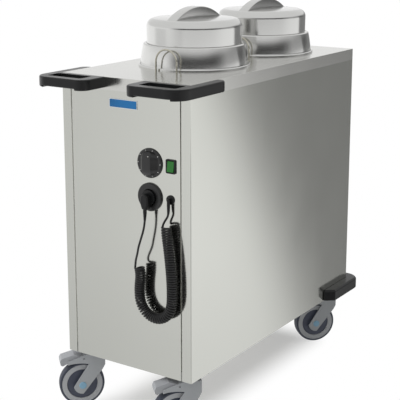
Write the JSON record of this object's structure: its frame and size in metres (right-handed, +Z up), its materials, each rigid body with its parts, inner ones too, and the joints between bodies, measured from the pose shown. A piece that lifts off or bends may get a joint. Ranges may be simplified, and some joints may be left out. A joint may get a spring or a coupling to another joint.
{
  "type": "heated plate dispenser",
  "caption": "Stainless trolley that warms stacks of plates on sprung platforms in round tubes under domed lids, with corner push handles, rear bumpers, braked castors and a parked curly cord.",
  "frame": {"origin": "on the floor at the middle of the footprint from the handles to the rear bumpers", "axes": "+Z up, the control panel faces -Y, and +X is to the right of someone facing the panel"},
  "size_m": [0.473, 1.005, 1.09],
  "materials": {
    "stainless_panel": "satin stainless steel sheet",
    "stainless_inner": "plain stainless steel sheet",
    "stainless_polished": "polished stainless steel pressing",
    "stainless_wire": "drawn stainless steel wire",
    "spring_steel": "spring steel",
    "frame_steel": "square steel tube",
    "castor_steel": "zinc plated steel",
    "heater_metal": "cast heater ring",
    "black_moulding": "black moulded plastic",
    "black_fitting": "black plastic fittings",
    "green_rocker": "green translucent plastic",
    "black_cord": "black cord sheath",
    "castor_plastic": "grey moulded plastic",
    "wheel_plastic": "light grey moulded plastic",
    "hub_plastic": "blue-grey moulded plastic",
    "tyre_rubber": "blue-grey non-marking rubber",
    "axle_cap": "pale blue caps on a steel axle"
  },
  "bodies": {
    "cabinet": {"base_tray": "stainless_inner", "castor_plates": "castor_steel", "frame_posts": "frame_steel", "side_panel_left": "stainless_panel", "side_panel_right": "stainless_panel", "front_panel": "stainless_panel", "rear_panel": "stainless_panel", "top_cover": "stainless_panel", "push_handle_left": "black_moulding", "push_handle_right": "black_moulding", "corner_bumper_left": "black_moulding", "corner_bumper_right": "black_moulding", "stop_loop_front": "stainless_wire", "stop_loop_rear": "stainless_wire", "tube_front": "stainless_inner", "tube_rear": "stainless_inner", "plate_guides_front": "stainless_wire", "plate_guides_rear": "stainless_wire", "heater_front": "heater_metal", "heater_rear": "heater_metal", "lift_spring_front": "spring_steel", "lift_spring_rear": "spring_steel", "thermostat_body": "black_fitting", "switch_housing": "black_fitting", "parking_socket": "black_fitting", "cable_gland": "black_fitting", "terminal_block": "black_fitting", "mains_plug": "black_fitting", "cord_lead_gland": "black_cord", "cord_curl": "black_cord", "cord_lead_plug": "black_cord"},
    "lid_front": {"lid_front": "stainless_polished"},
    "platform_front": {"platform_front": "stainless_inner"},
    "lid_rear": {"lid_rear": "stainless_polished"},
    "platform_rear": {"platform_rear": "stainless_inner"},
    "thermostat_knob": {"thermostat_knob": "black_fitting"},
    "switch_rocker": {"switch_rocker": "green_rocker"},
    "castor_front_left": {"castor_fork_front_left": "castor_plastic", "castor_axle_front_left": "axle_cap"},
    "wheel_front_left": {"wheel_rim_front_left": "wheel_plastic", "tyre_front_left": "tyre_rubber", "hub_cover_front_left": "hub_plastic"},
    "brake_pedal_front_left": {"brake_pedal_front_left": "castor_plastic"},
    "castor_front_right": {"castor_fork_front_right": "castor_plastic", "castor_axle_front_right": "axle_cap"},
    "wheel_front_right": {"wheel_rim_front_right": "wheel_plastic", "tyre_front_right": "tyre_rubber", "hub_cover_front_right": "hub_plastic"},
    "brake_pedal_front_right": {"brake_pedal_front_right": "castor_plastic"},
    "castor_rear_left": {"castor_fork_rear_left": "castor_plastic", "castor_axle_rear_left": "axle_cap"},
    "wheel_rear_left": {"wheel_rim_rear_left": "wheel_plastic", "tyre_rear_left": "tyre_rubber", "hub_cover_rear_left": "hub_plastic"},
    "castor_rear_right": {"castor_fork_rear_right": "castor_plastic", "castor_axle_rear_right": "axle_cap"},
    "wheel_rear_right": {"wheel_rim_rear_right": "wheel_plastic", "tyre_rear_right": "tyre_rubber", "hub_cover_rear_right": "hub_plastic"}
  },
  "joints": [
    {"name": "lid_front_lift", "type": "slide", "parent": "cabinet", "child": "lid_front", "axis": [0, 0, 1], "range_m": [0, 0.3]},
    {"name": "platform_front_sink", "type": "slide", "parent": "cabinet", "child": "platform_front", "axis": [0, 0, -1], "range_m": [0, 0.5], "stiffness_N_per_m": 220, "springref_m": -0.15, "deforming": ["lift_spring_front"]},
    {"name": "lid_rear_lift", "type": "slide", "parent": "cabinet", "child": "lid_rear", "axis": [0, 0, 1], "range_m": [0, 0.3]},
    {"name": "platform_rear_sink", "type": "slide", "parent": "cabinet", "child": "platform_rear", "axis": [0, 0, -1], "range_m": [0, 0.5], "stiffness_N_per_m": 220, "springref_m": -0.15, "deforming": ["lift_spring_rear"]},
    {"name": "thermostat_turn", "type": "hinge", "parent": "cabinet", "child": "thermostat_knob", "pos_m": [0.079, -0.4175, 0.725], "axis": [0, 1, 0], "range_deg": [0, 270]},
    {"name": "switch_rock", "type": "hinge", "parent": "cabinet", "child": "switch_rocker", "pos_m": [0.143, -0.4175, 0.724], "axis": [1, 0, 0], "range_deg": [0, 18]},
    {"name": "castor_front_left_swivel", "type": "hinge", "parent": "cabinet", "child": "castor_front_left", "pos_m": [-0.16, -0.3605, 0.152], "axis": [0, 0, 1], "continuous": true},
    {"name": "wheel_front_left_roll", "type": "hinge", "parent": "castor_front_left", "child": "wheel_front_left", "pos_m": [-0.18592, -0.38829, 0.0625], "axis": [-0.7314, 0.682, 0], "continuous": true},
    {"name": "brake_pedal_front_left_press", "type": "hinge", "parent": "castor_front_left", "child": "brake_pedal_front_left", "pos_m": [-0.18251, -0.38464, 0.14], "axis": [0.7314, -0.682, 0], "range_deg": [0, 12]},
    {"name": "castor_front_right_swivel", "type": "hinge", "parent": "cabinet", "child": "castor_front_right", "pos_m": [0.16, -0.3605, 0.152], "axis": [0, 0, 1], "continuous": true},
    {"name": "wheel_front_right_roll", "type": "hinge", "parent": "castor_front_right", "child": "wheel_front_right", "pos_m": [0.13408, -0.38829, 0.0625], "axis": [-0.7314, 0.682, 0], "continuous": true},
    {"name": "brake_pedal_front_right_press", "type": "hinge", "parent": "castor_front_right", "child": "brake_pedal_front_right", "pos_m": [0.13749, -0.38464, 0.14], "axis": [0.7314, -0.682, 0], "range_deg": [0, 12]},
    {"name": "castor_rear_left_swivel", "type": "hinge", "parent": "cabinet", "child": "castor_rear_left", "pos_m": [-0.16, 0.4035, 0.152], "axis": [0, 0, 1], "continuous": true},
    {"name": "wheel_rear_left_roll", "type": "hinge", "parent": "castor_rear_left", "child": "wheel_rear_left", "pos_m": [-0.18592, 0.37571, 0.0625], "axis": [-0.7314, 0.682, 0], "continuous": true},
    {"name": "castor_rear_right_swivel", "type": "hinge", "parent": "cabinet", "child": "castor_rear_right", "pos_m": [0.16, 0.4035, 0.152], "axis": [0, 0, 1], "continuous": true},
    {"name": "wheel_rear_right_roll", "type": "hinge", "parent": "castor_rear_right", "child": "wheel_rear_right", "pos_m": [0.13408, 0.37571, 0.0625], "axis": [-0.7314, 0.682, 0], "continuous": true}
  ]
}
